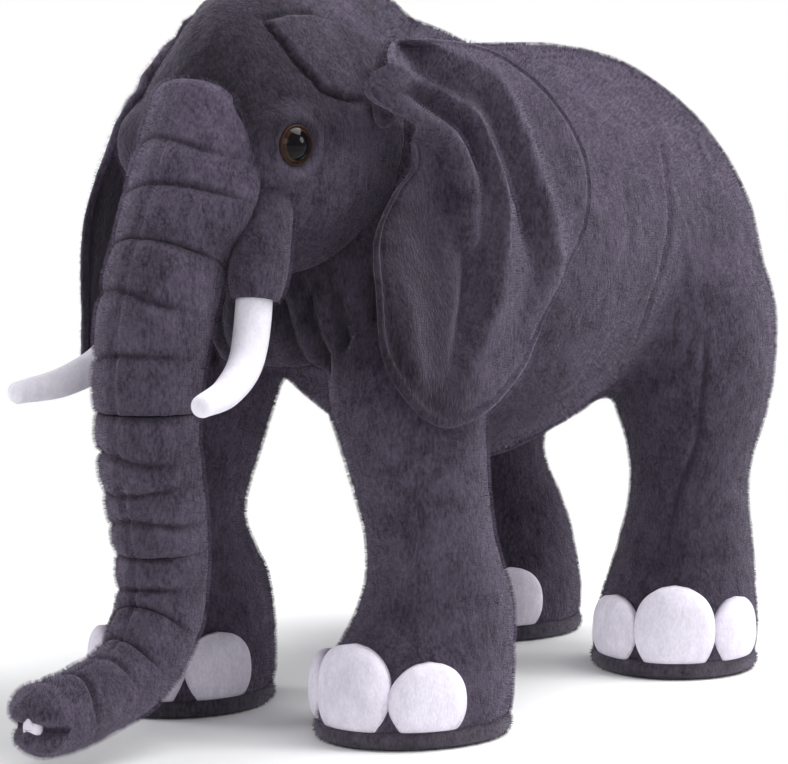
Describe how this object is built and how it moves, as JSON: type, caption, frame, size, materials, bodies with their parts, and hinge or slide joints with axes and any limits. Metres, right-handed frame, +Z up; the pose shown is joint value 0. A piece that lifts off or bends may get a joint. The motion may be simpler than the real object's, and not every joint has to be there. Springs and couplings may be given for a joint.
{
  "type": "stuffed elephant",
  "caption": "Standing plush elephant with short dark grey pile, pale toenails and tusks, glossy eyes, ears that flap, a trunk that bends and a tail that wags.",
  "frame": {"origin": "on the floor, under the middle of the elephant's bounding box", "axes": "+Z up, the elephant faces -Y, its left side is +X"},
  "size_m": [0.3431, 0.7851, 0.5167],
  "materials": {
    "grey_plush": "short dense pile, dark purple grey",
    "nail_plush": "very short pale pile",
    "tusk_plush": "very short white pile",
    "sole_fabric": "short dark pile",
    "fibre_fill": "polyester fibre",
    "eye": "polished, dark brown iris and black pupil",
    "washer": "moulded",
    "board": "pressed board",
    "steel": "plain rod"
  },
  "bodies": {
    "body": {"wire_frame": "steel", "torso_skin": "grey_plush", "torso_fill": "fibre_fill", "head_skin": "grey_plush", "head_fill": "fibre_fill", "trunk_skin_root": "grey_plush", "trunk_fill_root": "fibre_fill", "leg_skin_front_left": "grey_plush", "leg_fill_front_left": "fibre_fill", "sole_pad_front_left": "sole_fabric", "sole_board_front_left": "board", "toenails_front_left": "nail_plush", "leg_skin_front_right": "grey_plush", "leg_fill_front_right": "fibre_fill", "sole_pad_front_right": "sole_fabric", "sole_board_front_right": "board", "toenails_front_right": "nail_plush", "leg_skin_hind_left": "grey_plush", "leg_fill_hind_left": "fibre_fill", "sole_pad_hind_left": "sole_fabric", "sole_board_hind_left": "board", "toenails_hind_left": "nail_plush", "leg_skin_hind_right": "grey_plush", "leg_fill_hind_right": "fibre_fill", "sole_pad_hind_right": "sole_fabric", "sole_board_hind_right": "board", "toenails_hind_right": "nail_plush", "tusk_left": "tusk_plush", "tusk_pouch_left": "grey_plush", "eye_left": "eye", "eye_washer_left": "washer", "tusk_right": "tusk_plush", "tusk_pouch_right": "grey_plush", "eye_right": "eye", "eye_washer_right": "washer"},
    "trunk_upper": {"trunk_skin_upper": "grey_plush", "trunk_fill_upper": "fibre_fill"},
    "trunk_middle": {"trunk_skin_middle": "grey_plush", "trunk_fill_middle": "fibre_fill"},
    "trunk_tip": {"trunk_skin_tip": "grey_plush", "trunk_fill_tip": "fibre_fill", "nostril_lining": "tusk_plush"},
    "ear_left": {"ear_skin_left": "grey_plush", "ear_wadding_left": "fibre_fill"},
    "ear_right": {"ear_skin_right": "grey_plush", "ear_wadding_right": "fibre_fill"},
    "tail": {"tail": "grey_plush", "tail_tuft": "grey_plush"}
  },
  "joints": [
    {"name": "trunk_lift", "type": "hinge", "parent": "body", "child": "trunk_upper", "pos_m": [0, -0.25221, 0.28711], "axis": [1, 0, 0], "range_deg": [-18, 2], "stiffness_Nm_per_rad": 1.2},
    {"name": "trunk_sway", "type": "hinge", "parent": "trunk_upper", "child": "trunk_middle", "pos_m": [0, -0.25667, 0.18501], "axis": [0, 1, 0], "range_deg": [-12, 12], "stiffness_Nm_per_rad": 0.8},
    {"name": "trunk_tip_curl", "type": "hinge", "parent": "trunk_middle", "child": "trunk_tip", "pos_m": [0, -0.24906, 0.09447], "axis": [1, 0, 0], "range_deg": [-22, 3], "stiffness_Nm_per_rad": 0.5},
    {"name": "ear_left_flap", "type": "hinge", "parent": "body", "child": "ear_left", "pos_m": [0.09875, -0.1405, 0.4235], "axis": [-0.1059, 0.2616, 0.9593], "range_deg": [-25, 0], "stiffness_Nm_per_rad": 0.3},
    {"name": "ear_right_flap", "type": "hinge", "parent": "body", "child": "ear_right", "pos_m": [-0.09875, -0.1405, 0.4235], "axis": [0.1059, 0.2616, 0.9593], "range_deg": [0, 25], "stiffness_Nm_per_rad": 0.3},
    {"name": "tail_wag", "type": "hinge", "parent": "body", "child": "tail", "pos_m": [0, 0.352, 0.394], "axis": [0, 1, 0], "range_deg": [-25, 25]}
  ]
}
